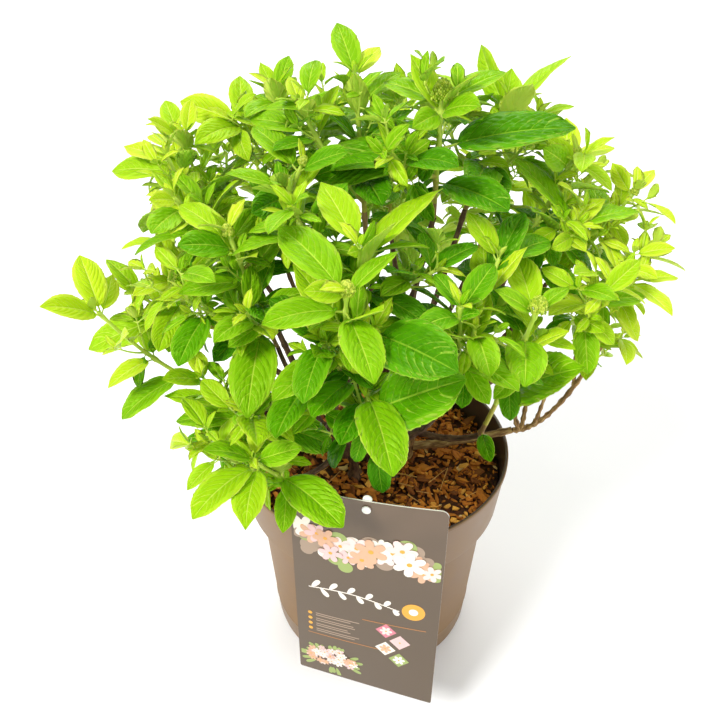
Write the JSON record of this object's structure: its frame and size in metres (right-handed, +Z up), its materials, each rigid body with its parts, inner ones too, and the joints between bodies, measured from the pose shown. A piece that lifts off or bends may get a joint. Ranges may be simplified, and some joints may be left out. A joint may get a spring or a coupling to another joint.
{
  "type": "potted hydrangea shrub",
  "caption": "Leafy hydrangea shrub in bud, grown in a round tapered nursery pot filled with bark mulch, with a plant label hung at the rim.",
  "frame": {"origin": "centre of the pot's flat underside, on the surface it stands on", "axes": "+Z up, -Y towards the plant label on the front of the pot, +X to the right seen from the label's side"},
  "size_m": [0.3709, 0.3171, 0.4341],
  "materials": {
    "pot_plastic": "thermoformed, satin",
    "potting_bark": "rough chips",
    "label_card": "printed, satin",
    "stake_plastic": "moulded",
    "bark": "ridged bark",
    "foliage": "satin leaf"
  },
  "bodies": {
    "root": {"bare_twigs": "foliage", "bough_back": "bark", "bough_back_left": "bark", "bough_back_right": "bark", "bough_bare": "bark", "bough_basal": "bark", "bough_far_left": "bark", "bough_far_right": "bark", "bough_front": "bark", "bough_front_left": "bark", "bough_front_right": "bark", "bough_left": "bark", "bough_left_shoulder": "bark", "bough_low_front": "bark", "bough_low_left": "bark", "bough_outer_left": "bark", "bough_right": "bark", "bough_right_shoulder": "bark", "bough_top": "bark", "bough_top_right": "bark", "bough_upper_back": "bark", "bough_upper_front": "bark", "bough_upper_left": "bark", "bough_upper_right": "bark", "foliage_back": "foliage", "foliage_back_left": "foliage", "foliage_back_right": "foliage", "foliage_basal_shoot": "foliage", "foliage_far_left": "foliage", "foliage_far_right": "foliage", "foliage_front": "foliage", "foliage_front_left": "foliage", "foliage_front_right": "foliage", "foliage_left": "foliage", "foliage_left_shoulder": "foliage", "foliage_low_front": "foliage", "foliage_low_left": "foliage", "foliage_outer_left": "foliage", "foliage_right": "foliage", "foliage_right_shoulder": "foliage", "foliage_top": "foliage", "foliage_top_right": "foliage", "foliage_upper_back": "foliage", "foliage_upper_front": "foliage", "foliage_upper_left": "foliage", "foliage_upper_right": "foliage", "label_stake": "stake_plastic", "plant_label": "label_card", "pot": "pot_plastic", "root_ball": "potting_bark", "stem_back_left": "bark", "stem_back_right": "bark", "stem_centre": "bark", "stem_front_left": "bark", "stem_front_right": "bark", "stem_left": "bark", "stem_right": "bark"}
  },
  "joints": []
}
